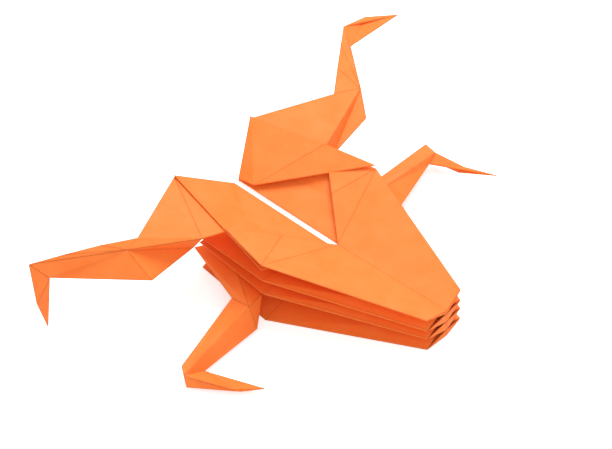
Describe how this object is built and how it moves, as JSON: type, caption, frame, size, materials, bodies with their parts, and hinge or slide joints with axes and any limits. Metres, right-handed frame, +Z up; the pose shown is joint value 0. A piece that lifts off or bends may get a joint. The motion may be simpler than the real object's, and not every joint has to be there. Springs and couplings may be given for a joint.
{
  "type": "origami frog",
  "caption": "Origami frog folded from one square of orange paper, with a pleated body, a slit back, two bent hind legs and two bent front legs",
  "frame": {"origin": "on the flat underside, on the midline, midway between the two widest corners of the body", "axes": "+X to the frog's right, +Y to the nose, +Z up"},
  "size_m": [0.0907, 0.0508, 0.0152],
  "materials": {
    "paper": "matt coloured origami paper, orange outside and white inside"
  },
  "bodies": {
    "root": {"folded_sheet": "paper"}
  },
  "joints": []
}
